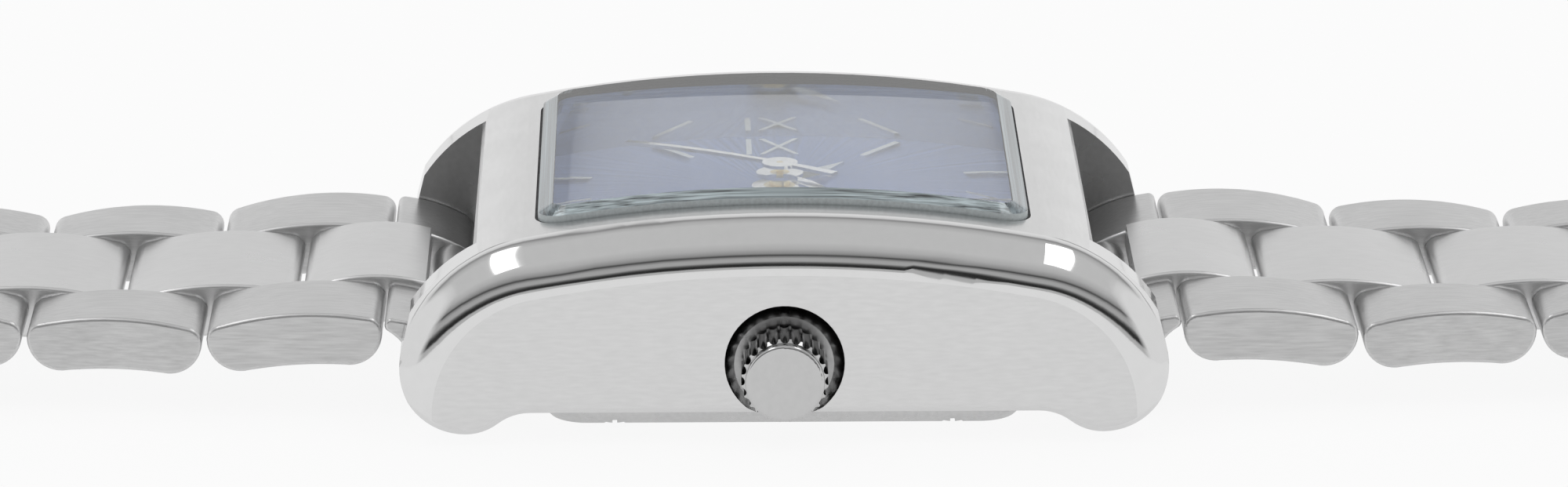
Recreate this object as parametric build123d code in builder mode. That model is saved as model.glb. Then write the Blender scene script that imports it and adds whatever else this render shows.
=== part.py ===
from build123d import *
import os
from math import asin, atan2, cos, degrees, hypot, radians, sin, sqrt

# Rectangular wristwatch with a curved steel case on a three-row bracelet of offset links.
# X points to 3 o'clock, Y to 12 o'clock and Z out of the dial. The origin is the middle of the
# case back's resting face. All sizes are in millimetres, all angles in degrees.

os.makedirs("parts", exist_ok=True)
pieces = {}

# Fits and clearances
running_fit = 0.03
side_play = 0.08
seat_gap = 0.05
overrun = 1.0

# Case
case_width = 28.0
case_length = 28.6
lug_to_lug = 35.3
lug_gap = 20.0
case_top = 10.3
case_bottom = 1.38
lug_foot = 0.36
shoulder_angle = 10.9
nose_angle = 57.0
facet_angle = 76.0
shoulder_radius = 8.0
facet_length = 1.6
belly_turn = 38.0
bevel_radius = 2.3
edge_radius = 0.3
wall_edge = 0.2

# Crystal, its gasket and its seat
crystal_side_ledge = 0.5
crystal_end_ledge = 0.6
crystal_corner = 1.5
crystal_seat = 8.6
crystal_rise = 0.6
crystal_bevel_width = 0.7
crystal_bevel_height = 0.3
gasket_wall = 0.14

# Dial chamber, flange and dial
chamber_side_ledge = 0.5
chamber_end_ledge = 1.0
chamber_corner = 1.2
dial_seat = 5.6
dial_thickness = 0.4
flange_wall = 0.22
flange_slope = 0.06

# Back opening and case back
holder_side_wall = 1.7
holder_end_wall = 0.9
back_corner = 1.6
plate_land = 2.2
plate_margin = 0.4
plate_corner = 2.2
plate_edge = 0.45
plate_floor = 0.6
spigot_height = 0.7
spigot_wall = 0.5
back_gasket_wall = 0.3
back_gasket_height = 0.5
screw_radius = 0.4
screw_head_radius = 0.65
screw_head_height = 0.5
screw_length = 2.4
screw_inset = 0.95
screw_end_inset = 1.9
screw_slot_width = 0.22
screw_slot_depth = 0.2

# Hands, as the time that they show, and their heights
shown_hour = 10
shown_minute = 9
shown_second = 36
hand_thickness = 0.15
hour_hand_height = 6.26
minute_hand_height = 6.89
second_hand_height = 7.38
hour_hand_length = 4.8
minute_hand_length = 7.2
second_hand_length = 8.3
second_tail_length = 2.9
hour_hub_radius = 1.15
minute_hub_radius = 1.0
second_hub_radius = 0.78
hour_hand_width = 0.9
minute_hand_width = 0.75
second_hand_width = 0.3
second_tail_width = 0.5

# Hour markers: batons, and Roman numerals at the quarters. Each numeral is a list of strokes, as
# the shares of its height that their feet and heads stand off its middle line.
marker_height = 0.12
marker_width = 0.26
marker_length = 3.0
side_border = 0.8
end_border = 0.1
numeral_height = 2.6
stroke_width = 0.22
numeral_strokes = {
    0: [(-0.5, 0.0), (0.0, -0.5), (0.2, 0.2), (0.42, 0.42)],
    3: [(-0.25, -0.25), (0.0, 0.0), (0.25, 0.25)],
    6: [(-0.12, -0.37), (-0.12, 0.13), (0.37, 0.37)],
    9: [(-0.45, -0.45), (-0.25, 0.3), (0.3, -0.25)],
}

# Movement plates
movement_side_rim = 0.8
movement_end_rim = 0.3
movement_corner = 1.6
plate_underside = 3.9
motion_pocket_floor = 5.0
motion_pocket_radius = 4.6
bridge_bottom = 1.95
bridge_top = 2.4
board_thickness = 0.2
board_margin = 0.2
board_shift_share = 0.22
board_length_share = 0.44
pillar_radius = 0.5
bridge_gap = 0.16
pillar_shares = [(-0.43, 0.42), (-0.12, 0.36), (0.22, -0.24), (0.4, -0.42)]

# Wheels: modules, thickness and arbors
train_module = 0.1
second_module = 0.12
tooth_tip_share = 0.8
tooth_root_share = 1.15
tooth_foot_share = 0.25
tooth_crest_share = 0.12
web_share = 0.58
web_hole_share = 0.2
web_holes = 6
motion_module = 0.12
wheel_thickness = 0.14
arbor_radius = 0.14
pivot_depth = 0.3
second_arbor_radius = 0.15
minute_pipe_radius = 0.42
hour_pipe_radius = 0.66
rotor_pinion_teeth = 8
intermediate_teeth = 40
intermediate_pinion_teeth = 8
second_teeth = 48
second_pinion_teeth = 8
third_teeth = 60
third_pinion_teeth = 8
centre_teeth = 64
cannon_teeth = 10
minute_wheel_teeth = 30
minute_pinion_teeth = 8
hour_teeth = 32
third_direction = 135.0
intermediate_direction = 260.0
rotor_direction = 225.0
minute_wheel_direction = 215.0
second_wheel_level = 2.55
third_wheel_level = 2.92
intermediate_wheel_level = 3.2
centre_wheel_level = 3.56
cannon_pinion_level = 5.06
hour_wheel_level = 5.32
rotor_radius = 0.8
rotor_height = 0.5
rotor_level = 2.62

# Motor, cell and circuit
stator_thickness = 0.22
stator_width = 3.0
stator_hole_radius = 0.98
coil_radius = 0.75
coil_length = 6.6
core_width = 1.2
coil_edge = 0.1
coil_offset = 2.75
battery_radius = 2.9
battery_height = 2.15
battery_edge = 0.2
battery_level = 1.3
battery_x = 3.9
battery_rim = 0.5
clamp_thickness = 0.15
clamp_width = 1.6
quartz_radius = 0.6
quartz_length = 4.6
quartz_end_share = 0.2

# Crown, stem and tube
stem_height = 3.21
stem_radius = 0.45
stem_inner_end = 4.4
stem_groove_share = 0.7
crown_radius = 2.0
crown_face_radius = 1.82
crown_proud = 1.2
crown_length = 2.6
crown_cap = 0.35
crown_edge = 0.14
crown_travel = 1.0
knurl_count = 24
knurl_radius = 0.22
knurl_depth = 0.17
crown_hollow_radius = 1.32
crown_hollow_depth = 1.8
tube_radius = 1.1
tube_end_gap = 0.25
crown_gasket_thickness = 0.5
pocket_floor_radius = 2.3
pocket_clearance = 0.3
pocket_flare = 0.45
pocket_rise = 0.6

# Bracelet
link_pitch = 8.4
link_gap = 0.25
link_thickness = 2.65
link_crest = 0.42
link_shoulder = 0.52
link_waist = 0.26
link_toe = 1.67
link_hollow = 0.15
link_edge = 0.16
centre_link_width = 8.8
pin_radius = 0.4
pin_reach = 1.9
link_row_count = 11
lug_clearance = 0.12
spring_bar_y = 15.7
spring_bar_z = 2.9
spring_bar_radius = 0.75
spring_tip_radius = 0.4
spring_tip_length = 0.9
end_tube_radius = 0.95
end_pin_y = 17.5
end_pin_z = 3.83
end_link_reach = 0.775
lobe_start_angle = 115.0
lobe_crest = 4.5
lobe_crest_inset = 0.35
lobe_top = 4.68
lobe_edge = 0.22
lobe_floor = 2.2
lobe_toe = 1.2
first_step = 3.0
first_link_back = 0.85
row_tilts = [2.0, 4.0, 3.0, 0.0, -2.0, -2.0]
landing_shares = [1.0, 1.0, 0.5]
landing_rise = 0.05
taper_widths = [19.76, 19.0, 17.2, 16.0]

# Clasp
clasp_radius = 75.0
cover_width = 16.0
cover_wall = 0.8
cover_side_depth = 2.5
cover_pivot_offset = 16.5
cover_start_offset = 14.2
cover_end_offset = 15.6
knuckle_radius = 0.8
cover_knuckle_radius = 1.15
far_hinge_offset = 14.5
near_hinge_offset = 11.2
blade_depth = 1.65
blade_thickness = 0.8
blade_gap = 0.3
end_blade_width = 6.6
rail_width = 3.2
bar_offset = 12.9
bar_width = 0.7
eye_offset = 17.4

# Sizes that follow from the ones above
half_case = case_width / 2
lug_tip = lug_to_lug / 2
end_wall = case_length / 2
dial_top = dial_seat + dial_thickness
half_link = link_thickness / 2
centre_half = centre_link_width / 2
outer_inside = centre_half + side_play
pin_spacing = link_pitch / 2


def sin_d(angle):
    return sin(radians(angle))


def cos_d(angle):
    return cos(radians(angle))


def polar(origin, distance, direction):
    return (origin[0] + distance * cos_d(direction), origin[1] + distance * sin_d(direction))


# Places and modules of the wheels
centre_place = (0, 0)
third_distance = train_module * (second_pinion_teeth + third_teeth) / 2
third_place = polar(centre_place, third_distance, third_direction)
centre_module = 2 * third_distance / (third_pinion_teeth + centre_teeth)
intermediate_distance = second_module * (intermediate_pinion_teeth + second_teeth) / 2
intermediate_place = polar(centre_place, intermediate_distance, intermediate_direction)
rotor_distance = train_module * (rotor_pinion_teeth + intermediate_teeth) / 2
rotor_place = polar(intermediate_place, rotor_distance, rotor_direction)
minute_wheel_distance = motion_module * (cannon_teeth + minute_wheel_teeth) / 2
minute_wheel_place = polar(centre_place, minute_wheel_distance, minute_wheel_direction)
hour_module = 2 * minute_wheel_distance / (minute_pinion_teeth + hour_teeth)
train_pivots = (rotor_place, intermediate_place, third_place)
plate_pivot_top = plate_underside + pivot_depth
bridge_pivot_bottom = bridge_top - pivot_depth

# The movement's outline, and from it the openings of the case, the crystal and the case back
coil_y = rotor_place[1] - coil_offset
movement_width = 2 * (battery_x + battery_radius + movement_side_rim)
movement_length = 2 * (coil_radius - coil_y + movement_end_rim)
battery_y = movement_length / 2 - battery_radius - battery_rim
back_width = movement_width + 2 * holder_side_wall
back_length = movement_length + 2 * holder_end_wall
chamber_width = back_width + 2 * chamber_side_ledge
chamber_length = back_length + 2 * chamber_end_ledge
crystal_width = chamber_width + 2 * crystal_side_ledge
crystal_length = chamber_length + 2 * crystal_end_ledge
plate_width = back_width + 2 * plate_land
screw_spread = back_length - 2 * screw_end_inset

# The case profile: top arc, shoulder, straight nose facet, foot arc and the rise to the belly
crest_slope = (1 - cos_d(shoulder_angle)) / sin_d(shoulder_angle)
shoulder_drop = shoulder_radius * (cos_d(shoulder_angle) - cos_d(nose_angle))
shoulder_reach = shoulder_radius * (sin_d(nose_angle) - sin_d(shoulder_angle))
facet_drop = facet_length * sin_d(facet_angle)
facet_reach = facet_length * cos_d(facet_angle)
foot_radius = (
    case_top
    - lug_foot
    - shoulder_drop
    - facet_drop
    - crest_slope * (lug_tip - shoulder_reach - facet_reach)
) / (1 + cos_d(facet_angle) - crest_slope * (1 - sin_d(facet_angle)))
tip_y = lug_tip - foot_radius * (1 - sin_d(facet_angle))
tip_z = lug_foot + foot_radius * (1 + cos_d(facet_angle))
top_radius = (tip_y - shoulder_reach - facet_reach) / sin_d(shoulder_angle)
belly_radius = (case_bottom - lug_foot) / (2 * (1 - cos_d(belly_turn)))
belly_end = lug_tip - foot_radius - 2 * belly_radius * sin_d(belly_turn)
plate_length = 2 * (belly_end - plate_margin)


def top_height(y, rise=0):
    return case_top + rise - top_radius + sqrt(top_radius**2 - y**2)


# Case outline with crisp shoulders, its edges softened all round
with BuildPart() as lug_shape:
    with BuildSketch(Plane.YZ.offset(-half_case)):
        with BuildLine():
            crest = JernArc((0, case_top), (1, 0), top_radius, -shoulder_angle)
            shoulder = JernArc(crest @ 1, crest % 1, shoulder_radius, shoulder_angle - nose_angle)
            facet = Line(shoulder @ 1, (tip_y, tip_z))
            foot = JernArc(facet @ 1, facet % 1, foot_radius, facet_angle - 180)
            rise = JernArc(foot @ 1, (-1, 0), belly_radius, -belly_turn)
            level = JernArc(rise @ 1, rise % 1, belly_radius, belly_turn)
            Line(level @ 1, (0, case_bottom))
            mirror(about=Plane.YZ)
        make_face()
    extrude(amount=case_width)
    side_faces = lug_shape.faces().filter_by(Axis.X)
    lower_edges = side_faces.edges().filter_by(lambda edge: edge.center().Z < tip_z)
    chamfer(lower_edges, length=edge_radius)

# Case body: rounded top shoulders, cut to the outline, then the lug gaps and the hollows
crown_inner = half_case + crown_proud - crown_length
pocket_floor = crown_inner - pocket_clearance
pocket_depth = half_case - pocket_floor
pocket_growth = (pocket_depth + overrun) / pocket_depth
with BuildPart() as case_body:
    with BuildSketch(Plane.YZ.offset(-half_case)):
        with BuildLine():
            crest = JernArc((0, case_top), (1, 0), top_radius, -shoulder_angle)
            shoulder = JernArc(crest @ 1, crest % 1, shoulder_radius, shoulder_angle - 90)
            drop = Line(shoulder @ 1, ((shoulder @ 1).X, -overrun))
            Line(drop @ 1, (0, -overrun))
            mirror(about=Plane.YZ)
        make_face()
    extrude(amount=case_width)
    side_faces = case_body.faces().filter_by(Axis.X)
    shoulder_edges = side_faces.edges().filter_by(lambda edge: edge.center().Z > -overrun / 2)
    fillet(shoulder_edges, radius=bevel_radius)
    add(lug_shape.part, mode=Mode.INTERSECT)
    for end in (1, -1):
        with Locations((0, end * (end_wall + lug_tip / 2), case_top / 2)):
            Box(lug_gap, lug_tip, case_top + 2 * overrun, mode=Mode.SUBTRACT)
    top_wall_edges = (
        case_body.edges()
        .filter_by(lambda edge: abs(abs(edge.center().Y) - end_wall) < seat_gap)
        .filter_by(lambda edge: abs(edge.center().X) < seat_gap)
        .filter_by(lambda edge: edge.center().Z > case_top / 2)
    )
    chamfer(top_wall_edges, length=wall_edge)
    with BuildSketch(Plane.XY.offset(crystal_seat)):
        RectangleRounded(
            crystal_width + 2 * gasket_wall,
            crystal_length + 2 * gasket_wall,
            crystal_corner + gasket_wall,
        )
    extrude(amount=case_top, mode=Mode.SUBTRACT)
    with BuildSketch(Plane.XY.offset(dial_seat)):
        RectangleRounded(chamber_width, chamber_length, chamber_corner)
    extrude(amount=case_top, mode=Mode.SUBTRACT)
    with BuildSketch(Plane.XY):
        RectangleRounded(back_width, back_length, back_corner)
    extrude(amount=case_top, mode=Mode.SUBTRACT)
    with BuildSketch(Plane.XY.offset(case_bottom)):
        RectangleRounded(
            back_width + 2 * back_gasket_wall,
            back_length + 2 * back_gasket_wall,
            back_corner + back_gasket_wall,
        )
    extrude(amount=back_gasket_height, mode=Mode.SUBTRACT)
    with BuildSketch(Plane.YZ.offset(pocket_floor)):
        with Locations((0, stem_height)):
            Circle(pocket_floor_radius)
    with BuildSketch(Plane.YZ.offset(half_case + overrun)):
        with Locations((0, stem_height + pocket_rise * pocket_growth)):
            Circle(pocket_floor_radius + pocket_flare * pocket_growth)
    loft(mode=Mode.SUBTRACT)
    with BuildSketch(Plane.YZ.offset(back_width / 2 - overrun)):
        with Locations((0, stem_height)):
            Circle(tube_radius)
    extrude(amount=half_case - back_width / 2, mode=Mode.SUBTRACT)
    with Locations(Plane.XY.offset(case_bottom)):
        with GridLocations(plate_width - 2 * screw_inset, screw_spread, 2, 2):
            Cylinder(
                screw_radius,
                screw_length,
                align=(Align.CENTER, Align.CENTER, Align.MIN),
                mode=Mode.SUBTRACT,
            )
    for end in (1, -1):
        with BuildSketch(Plane.YZ.offset(-lug_gap / 2 - spring_tip_length - seat_gap)):
            with Locations((end * spring_bar_y, spring_bar_z)):
                Circle(spring_tip_radius + seat_gap)
        extrude(amount=lug_gap + 2 * (spring_tip_length + seat_gap), mode=Mode.SUBTRACT)
pieces["case_body"] = case_body.part

# Crystal: flat underneath, curved along 12 to 6 on top, with a bevelled rim
with BuildPart() as crystal:
    with BuildSketch(Plane.XY.offset(crystal_seat)):
        RectangleRounded(crystal_width, crystal_length, crystal_corner)
    extrude(amount=case_top)
    with BuildSketch(Plane.YZ.offset(-half_case)):
        with BuildLine():
            dome = JernArc((0, case_top + crystal_rise), (1, 0), top_radius, -2 * shoulder_angle)
            Line(dome @ 1, ((dome @ 1).X, 0))
            Line(((dome @ 1).X, 0), (0, 0))
            mirror(about=Plane.YZ)
        make_face()
    extrude(amount=case_width, mode=Mode.INTERSECT)
    dome_face = crystal.faces().sort_by(Axis.Z)[-1]
    chamfer(
        dome_face.edges(),
        length=crystal_bevel_width,
        length2=crystal_bevel_height,
        reference=dome_face,
    )
pieces["crystal"] = crystal.part

# Crystal gasket: a thin wall round the glass, level with the case's curved top
with BuildPart() as crystal_gasket:
    with BuildSketch(Plane.XY.offset(crystal_seat)):
        RectangleRounded(
            crystal_width + 2 * gasket_wall,
            crystal_length + 2 * gasket_wall,
            crystal_corner + gasket_wall,
        )
        RectangleRounded(crystal_width, crystal_length, crystal_corner, mode=Mode.SUBTRACT)
    extrude(amount=case_top)
    with BuildSketch(Plane.YZ.offset(-half_case)):
        with BuildLine():
            dome = JernArc((0, case_top - seat_gap), (1, 0), top_radius, -2 * shoulder_angle)
            Line(dome @ 1, ((dome @ 1).X, 0))
            Line(((dome @ 1).X, 0), (0, 0))
            mirror(about=Plane.YZ)
        make_face()
    extrude(amount=case_width, mode=Mode.INTERSECT)
pieces["crystal_gasket"] = crystal_gasket.part

# Flange: the wall between dial and crystal, leaning inwards towards the dial
with BuildPart() as dial_flange:
    with BuildSketch(Plane.XY.offset(dial_top)):
        RectangleRounded(
            chamber_width - 2 * seat_gap, chamber_length - 2 * seat_gap, chamber_corner - seat_gap
        )
    extrude(amount=crystal_seat - dial_top)
    with BuildSketch(Plane.XY.offset(dial_top)):
        RectangleRounded(
            chamber_width - 2 * (seat_gap + flange_wall + flange_slope),
            chamber_length - 2 * (seat_gap + flange_wall + flange_slope),
            chamber_corner - seat_gap - flange_wall - flange_slope,
        )
    with BuildSketch(Plane.XY.offset(crystal_seat)):
        RectangleRounded(
            chamber_width - 2 * (seat_gap + flange_wall),
            chamber_length - 2 * (seat_gap + flange_wall),
            chamber_corner - seat_gap - flange_wall,
        )
    loft(mode=Mode.SUBTRACT)
pieces["dial_flange"] = dial_flange.part

# Dial
with BuildPart() as dial:
    with BuildSketch(Plane.XY.offset(dial_seat)):
        RectangleRounded(
            chamber_width - 2 * seat_gap, chamber_length - 2 * seat_gap, chamber_corner - seat_gap
        )
        Circle(hour_pipe_radius + seat_gap, mode=Mode.SUBTRACT)
    extrude(amount=dial_thickness)
pieces["dial"] = dial.part

# Hour markers on a rectangular track, all pointing at the centre
track_x = chamber_width / 2 - seat_gap - flange_wall - flange_slope - side_border
track_y = chamber_length / 2 - seat_gap - flange_wall - flange_slope - end_border
with BuildPart() as hour_markers:
    for hour in range(12):
        angle = 30 * hour
        reach = min(track_x / max(abs(sin_d(angle)), 1e-6), track_y / max(abs(cos_d(angle)), 1e-6))
        length = numeral_height if hour in numeral_strokes else marker_length
        inner = reach - length
        with BuildSketch(Plane.XY.offset(dial_top).rotated((0, 0, -angle))) as marker:
            for foot, head in numeral_strokes.get(hour, [(0, 0)]):
                half = stroke_width / 2 if hour in numeral_strokes else marker_width / 2
                with BuildLine():
                    Polyline(
                        (foot * length - half, inner),
                        (foot * length + half, inner),
                        (head * length + half, reach),
                        (head * length - half, reach),
                        close=True,
                    )
                make_face()
        extrude(marker.sketch, amount=marker_height)
pieces["hour_markers"] = hour_markers.part


def pointed_hand(height, length, width, hub, bore, angle):
    """A kite-shaped hand with a round hub, turned clockwise from 12 by the angle."""
    with BuildPart() as hand:
        with BuildSketch(Plane.XY.offset(height).rotated((0, 0, -angle))):
            with BuildLine():
                Polyline(
                    (0, length), (width / 2, 2 * hub), (0, 0), (-width / 2, 2 * hub), close=True
                )
            make_face()
            Circle(hub)
            Circle(bore, mode=Mode.SUBTRACT)
        extrude(amount=hand_thickness)
    return hand.part


second_angle = 6 * shown_second
minute_angle = 6 * shown_minute + shown_second / 10
hour_angle = 30 * shown_hour + shown_minute / 2 + shown_second / 120
pieces["hour_hand"] = pointed_hand(
    hour_hand_height,
    hour_hand_length,
    hour_hand_width,
    hour_hub_radius,
    hour_pipe_radius,
    hour_angle,
)
pieces["minute_hand"] = pointed_hand(
    minute_hand_height,
    minute_hand_length,
    minute_hand_width,
    minute_hub_radius,
    minute_pipe_radius,
    minute_angle,
)

# Second hand: a slim bar with a broader tail and a round hub
with BuildPart() as second_hand:
    with BuildSketch(Plane.XY.offset(second_hand_height).rotated((0, 0, -second_angle))):
        with BuildLine():
            Polyline(
                (second_hand_width / 2, 0),
                (second_tail_width / 2, -second_tail_length),
                (-second_tail_width / 2, -second_tail_length),
                (-second_hand_width / 2, 0),
                (-second_hand_width / 2, second_hand_length),
                (second_hand_width / 2, second_hand_length),
                close=True,
            )
        make_face()
        Circle(second_hub_radius)
        Circle(second_arbor_radius, mode=Mode.SUBTRACT)
    extrude(amount=hand_thickness)
pieces["second_hand"] = second_hand.part


def gear_points(centre, teeth, module, phase):
    """Corners of a toothed outline whose first tooth points along the phase angle."""
    tip = module * teeth / 2 + module * tooth_tip_share
    root = module * teeth / 2 - module * tooth_root_share
    step = 360 / teeth
    points = []
    for tooth in range(teeth):
        for radius, shift in (
            (root, -tooth_foot_share),
            (tip, -tooth_crest_share),
            (tip, tooth_crest_share),
            (root, tooth_foot_share),
        ):
            points.append(polar(centre, radius, phase + (tooth + shift) * step))
    return points


def mesh_phase(phase, teeth, other_teeth, direction):
    """First tooth angle of a wheel that meshes with another one lying in the direction."""
    return direction + 180 + (180 + (direction - phase) * teeth) / other_teeth


def add_gear(centre, level, height, teeth, module, phase):
    with BuildSketch(Plane.XY.offset(level)) as outline:
        with BuildLine():
            Polyline(*gear_points(centre, teeth, module, phase), close=True)
        make_face()
    extrude(outline.sketch, amount=height)


def add_rod(centre, bottom, top, radius, mode=Mode.ADD):
    with BuildSketch(Plane.XY.offset(bottom)) as outline:
        with Locations(centre):
            Circle(radius)
    extrude(outline.sketch, amount=top - bottom, mode=mode)


def lighten(centre, level, module, teeth):
    """Round openings in a wheel's web."""
    pitch_radius = module * teeth / 2
    with BuildSketch(Plane.XY.offset(level)) as openings:
        with Locations(centre):
            with PolarLocations(pitch_radius * web_share, web_holes):
                Circle(pitch_radius * web_hole_share)
    extrude(openings.sketch, amount=wheel_thickness, mode=Mode.SUBTRACT)


# Seconds wheel and its long arbor, which carries the second hand
second_phase = 0
second_mesh = mesh_phase(second_phase, second_teeth, intermediate_pinion_teeth, intermediate_direction)
third_mesh = mesh_phase(second_phase, second_pinion_teeth, third_teeth, third_direction)
with BuildPart() as seconds_wheel:
    add_gear(
        centre_place, second_wheel_level, wheel_thickness, second_teeth, second_module, second_phase
    )
    lighten(centre_place, second_wheel_level, second_module, second_teeth)
    add_gear(
        centre_place,
        second_wheel_level + wheel_thickness,
        centre_wheel_level - second_wheel_level - 2 * wheel_thickness,
        second_pinion_teeth,
        train_module,
        second_phase,
    )
    add_rod(
        centre_place,
        bridge_pivot_bottom,
        second_hand_height + hand_thickness,
        second_arbor_radius,
    )
pieces["seconds_wheel"] = seconds_wheel.part

# Third wheel
with BuildPart() as third_wheel:
    add_gear(third_place, third_wheel_level, wheel_thickness, third_teeth, train_module, third_mesh)
    lighten(third_place, third_wheel_level, train_module, third_teeth)
    add_gear(
        third_place,
        third_wheel_level + wheel_thickness,
        plate_underside - third_wheel_level - 2 * wheel_thickness,
        third_pinion_teeth,
        centre_module,
        third_mesh,
    )
    add_rod(third_place, bridge_pivot_bottom, plate_pivot_top - running_fit, arbor_radius)
pieces["third_wheel"] = third_wheel.part

# Centre wheel with the cannon pinion and its pipe, which carries the minute hand
centre_phase = mesh_phase(third_mesh, third_pinion_teeth, centre_teeth, third_direction + 180)
cannon_phase = 0
minute_wheel_phase = mesh_phase(
    cannon_phase, cannon_teeth, minute_wheel_teeth, minute_wheel_direction
)
with BuildPart() as center_wheel:
    add_gear(
        centre_place, centre_wheel_level, wheel_thickness, centre_teeth, centre_module, centre_phase
    )
    lighten(centre_place, centre_wheel_level, centre_module, centre_teeth)
    add_gear(
        centre_place,
        cannon_pinion_level,
        hour_wheel_level - cannon_pinion_level - running_fit,
        cannon_teeth,
        motion_module,
        cannon_phase,
    )
    add_rod(
        centre_place,
        centre_wheel_level,
        minute_hand_height + hand_thickness,
        minute_pipe_radius,
    )
    add_rod(
        centre_place,
        centre_wheel_level,
        minute_hand_height + hand_thickness,
        second_arbor_radius + running_fit,
        mode=Mode.SUBTRACT,
    )
pieces["center_wheel"] = center_wheel.part

# Hour wheel and its pipe, which carries the hour hand
hour_phase = mesh_phase(
    minute_wheel_phase, minute_pinion_teeth, hour_teeth, minute_wheel_direction + 180
)
with BuildPart() as hour_wheel:
    add_gear(centre_place, hour_wheel_level, wheel_thickness, hour_teeth, hour_module, hour_phase)
    add_rod(
        centre_place,
        hour_wheel_level,
        hour_hand_height + hand_thickness,
        hour_pipe_radius,
    )
    add_rod(
        centre_place,
        hour_wheel_level,
        hour_hand_height + hand_thickness,
        minute_pipe_radius + running_fit,
        mode=Mode.SUBTRACT,
    )
pieces["hour_wheel"] = hour_wheel.part

# Minute wheel, which turns on a post of the main plate
minute_post_radius = arbor_radius + running_fit
with BuildPart() as minute_wheel:
    add_gear(
        minute_wheel_place,
        cannon_pinion_level,
        wheel_thickness,
        minute_wheel_teeth,
        motion_module,
        minute_wheel_phase,
    )
    add_gear(
        minute_wheel_place,
        cannon_pinion_level + wheel_thickness,
        hour_wheel_level - cannon_pinion_level,
        minute_pinion_teeth,
        hour_module,
        minute_wheel_phase,
    )
    add_rod(
        minute_wheel_place,
        cannon_pinion_level,
        dial_seat,
        minute_post_radius,
        mode=Mode.SUBTRACT,
    )
pieces["minute_wheel"] = minute_wheel.part

# Intermediate wheel between rotor and seconds wheel
rotor_mesh_phase = mesh_phase(
    second_mesh, intermediate_teeth, rotor_pinion_teeth, rotor_direction
)
with BuildPart() as intermediate_wheel:
    add_gear(
        intermediate_place,
        intermediate_wheel_level,
        wheel_thickness,
        intermediate_teeth,
        train_module,
        second_mesh,
    )
    add_gear(
        intermediate_place,
        second_wheel_level - wheel_thickness / 2,
        intermediate_wheel_level - second_wheel_level + wheel_thickness / 2,
        intermediate_pinion_teeth,
        second_module,
        second_mesh,
    )
    add_rod(
        intermediate_place, bridge_pivot_bottom, plate_pivot_top - running_fit, arbor_radius
    )
pieces["intermediate_wheel"] = intermediate_wheel.part

# Rotor: magnet, pinion and arbor
with BuildPart() as rotor:
    add_rod(rotor_place, rotor_level, rotor_level + rotor_height, rotor_radius)
    add_gear(
        rotor_place,
        rotor_level + rotor_height,
        plate_underside - rotor_level - rotor_height - wheel_thickness,
        rotor_pinion_teeth,
        train_module,
        rotor_mesh_phase,
    )
    add_rod(rotor_place, bridge_pivot_bottom, plate_pivot_top - running_fit, arbor_radius)
pieces["rotor"] = rotor.part

# Main plate: pocket for the motion work on top, a block for the stem below
stem_block_half = 1.3
stem_block_start = stem_inner_end - seat_gap
pillar_places = [
    (movement_width * across, movement_length * along) for across, along in pillar_shares
]
with BuildPart() as main_plate:
    with BuildSketch(Plane.XY.offset(plate_underside)):
        RectangleRounded(movement_width, movement_length, movement_corner)
    extrude(amount=dial_seat - plate_underside)
    add_rod(centre_place, motion_pocket_floor, dial_seat, motion_pocket_radius, mode=Mode.SUBTRACT)
    add_rod(
        centre_place,
        plate_underside,
        dial_seat,
        minute_pipe_radius + running_fit,
        mode=Mode.SUBTRACT,
    )
    add_rod(minute_wheel_place, motion_pocket_floor, dial_seat - seat_gap, arbor_radius)
    for place in train_pivots:
        add_rod(
            place, plate_underside, plate_pivot_top, arbor_radius + running_fit, mode=Mode.SUBTRACT
        )
    with BuildSketch(Plane.XY.offset(bridge_top)):
        with Locations(((stem_block_start + movement_width / 2) / 2, 0)):
            Rectangle(movement_width / 2 - stem_block_start, 2 * stem_block_half)
    extrude(amount=plate_underside - bridge_top)
    with BuildSketch(Plane.YZ.offset(stem_block_start)):
        with Locations((0, stem_height)):
            Circle(stem_radius + running_fit)
    extrude(amount=movement_width, mode=Mode.SUBTRACT)
pieces["main_plate"] = main_plate.part

stator_level = rotor_level + (rotor_height - stator_thickness) / 2
stator_length = coil_length + core_width
quartz_x = -movement_width / 2 + quartz_radius + side_play
quartz_y = quartz_length / 2 - movement_length * quartz_end_share

# Train bridge: a plate under the wheels on three pillars, cut away round the cell
with BuildPart() as train_bridge:
    with BuildSketch(Plane.XY.offset(bridge_bottom)):
        RectangleRounded(movement_width, movement_length, movement_corner)
        with Locations((battery_x, battery_y)):
            Circle(battery_radius + bridge_gap, mode=Mode.SUBTRACT)
            Rectangle(
                2 * battery_radius + clamp_width,
                clamp_width + 2 * bridge_gap,
                mode=Mode.SUBTRACT,
            )
        with Locations((movement_width / 2, movement_length / 2)):
            Rectangle(2 * battery_radius, movement_length / 2, mode=Mode.SUBTRACT)
        with Locations((rotor_place[0], coil_y)):
            Rectangle(
                coil_length + 2 * side_play, 2 * (coil_radius + side_play), mode=Mode.SUBTRACT
            )
        with Locations((quartz_x - side_play, quartz_y)):
            Rectangle(
                2 * (quartz_radius + bridge_gap),
                quartz_length + 2 * side_play,
                mode=Mode.SUBTRACT,
            )
    extrude(amount=bridge_top - bridge_bottom)
    for place in pillar_places:
        add_rod(place, bridge_top, plate_underside, pillar_radius)
    for place in (*train_pivots, centre_place):
        add_rod(
            place,
            bridge_pivot_bottom - running_fit,
            bridge_top,
            second_arbor_radius + running_fit,
            mode=Mode.SUBTRACT,
        )
pieces["train_bridge"] = train_bridge.part

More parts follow.
